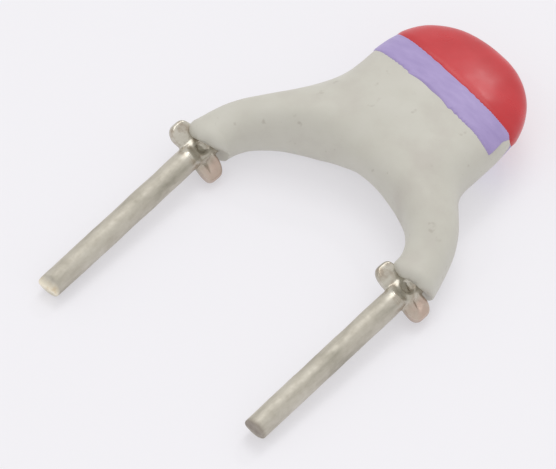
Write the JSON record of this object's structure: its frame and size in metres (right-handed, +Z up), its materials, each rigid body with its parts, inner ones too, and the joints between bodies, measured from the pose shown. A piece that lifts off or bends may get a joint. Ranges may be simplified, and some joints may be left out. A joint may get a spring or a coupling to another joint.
{
  "type": "ceramic disc capacitor",
  "caption": "Small lacquered ceramic disc capacitor with a red dipped tip, a violet band and two pinched tinned wire leads for a circuit board",
  "frame": {"origin": "middle of the bounding box at the height of the surface it lies on", "axes": "+Y from the wire tips towards the disc, +X across the two leads, +Z up from the surface; it lies on its back on its belly and wire tips"},
  "size_m": [0.0064, 0.0096, 0.0015],
  "materials": {
    "ceramic": "unglazed sintered ceramic",
    "silver": "fired silver layer",
    "solder": "satin solder",
    "tinned_copper": "tinned wire, slightly scuffed and uneven",
    "grey_lacquer": "dipped lacquer, low satin gloss with fine mottling",
    "violet_paint": "thin brushed paint, satin",
    "red_paint": "dipped paint, glossy"
  },
  "bodies": {
    "root": {"ceramic_disc": "ceramic", "front_electrode": "silver", "rear_electrode": "silver", "front_solder_joint": "solder", "rear_solder_joint": "solder", "left_lead": "tinned_copper", "right_lead": "tinned_copper", "lacquer_coating": "grey_lacquer", "violet_band": "violet_paint", "red_tip": "red_paint"}
  },
  "joints": []
}
